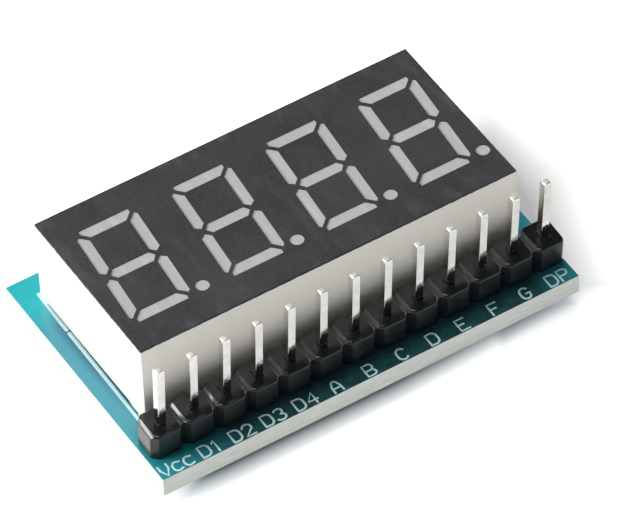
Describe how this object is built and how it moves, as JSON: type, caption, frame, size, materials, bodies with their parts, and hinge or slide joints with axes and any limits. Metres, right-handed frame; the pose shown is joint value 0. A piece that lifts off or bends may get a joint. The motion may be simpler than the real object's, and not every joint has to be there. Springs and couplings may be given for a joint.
{
  "type": "seven segment display module",
  "caption": "Numeric light display block with slanted digits and decimal points, soldered to a circuit board with a row of upright square header pins along its front edge.",
  "frame": {"origin": "under the middle of the circuit board, on the plane that the soldered pin ends stand on", "axes": "+X along the digits from left to right, +Y from the header pins to the back of the display, +Z out of the display face"},
  "size_m": [0.0332, 0.0208, 0.011],
  "materials": {
    "circuit_board": "glossy solder mask over glass fibre laminate",
    "housing_plastic": "matt moulded plastic",
    "face_coat": "matt printed coat",
    "segment_resin": "milky resin",
    "chip_board": "bare laminate",
    "light_chip": "polished chip",
    "bond_wire": "bright drawn wire",
    "tinned_pin": "bright tin plate",
    "header_plastic": "satin black moulded plastic",
    "transistor_case": "matt moulded case with tinned legs",
    "resistor_body": "glazed ceramic with tinned ends",
    "solder": "bright solder"
  },
  "bodies": {
    "root": {"circuit_board": "circuit_board", "display_housing": "housing_plastic", "face_coat": "face_coat", "segment_resin": "segment_resin", "chip_board": "chip_board", "light_chips": "light_chip", "bond_wires": "bond_wire", "display_pin_1": "tinned_pin", "display_pin_2": "tinned_pin", "display_pin_3": "tinned_pin", "display_pin_4": "tinned_pin", "display_pin_5": "tinned_pin", "display_pin_6": "tinned_pin", "display_pin_7": "tinned_pin", "display_pin_8": "tinned_pin", "display_pin_9": "tinned_pin", "display_pin_10": "tinned_pin", "display_pin_11": "tinned_pin", "display_pin_12": "tinned_pin", "header_strip": "header_plastic", "header_pin_1": "tinned_pin", "header_pin_2": "tinned_pin", "header_pin_3": "tinned_pin", "header_pin_4": "tinned_pin", "header_pin_5": "tinned_pin", "header_pin_6": "tinned_pin", "header_pin_7": "tinned_pin", "header_pin_8": "tinned_pin", "header_pin_9": "tinned_pin", "header_pin_10": "tinned_pin", "header_pin_11": "tinned_pin", "header_pin_12": "tinned_pin", "header_pin_13": "tinned_pin", "transistor_1": "transistor_case", "transistor_2": "transistor_case", "transistor_3": "transistor_case", "transistor_4": "transistor_case", "base_resistor_1": "resistor_body", "base_resistor_2": "resistor_body", "base_resistor_3": "resistor_body", "base_resistor_4": "resistor_body", "segment_resistor_1": "resistor_body", "segment_resistor_2": "resistor_body", "segment_resistor_3": "resistor_body", "segment_resistor_4": "resistor_body", "segment_resistor_5": "resistor_body", "segment_resistor_6": "resistor_body", "segment_resistor_7": "resistor_body", "segment_resistor_8": "resistor_body", "header_solder": "solder", "display_solder": "solder", "small_part_solder": "solder"}
  },
  "joints": []
}
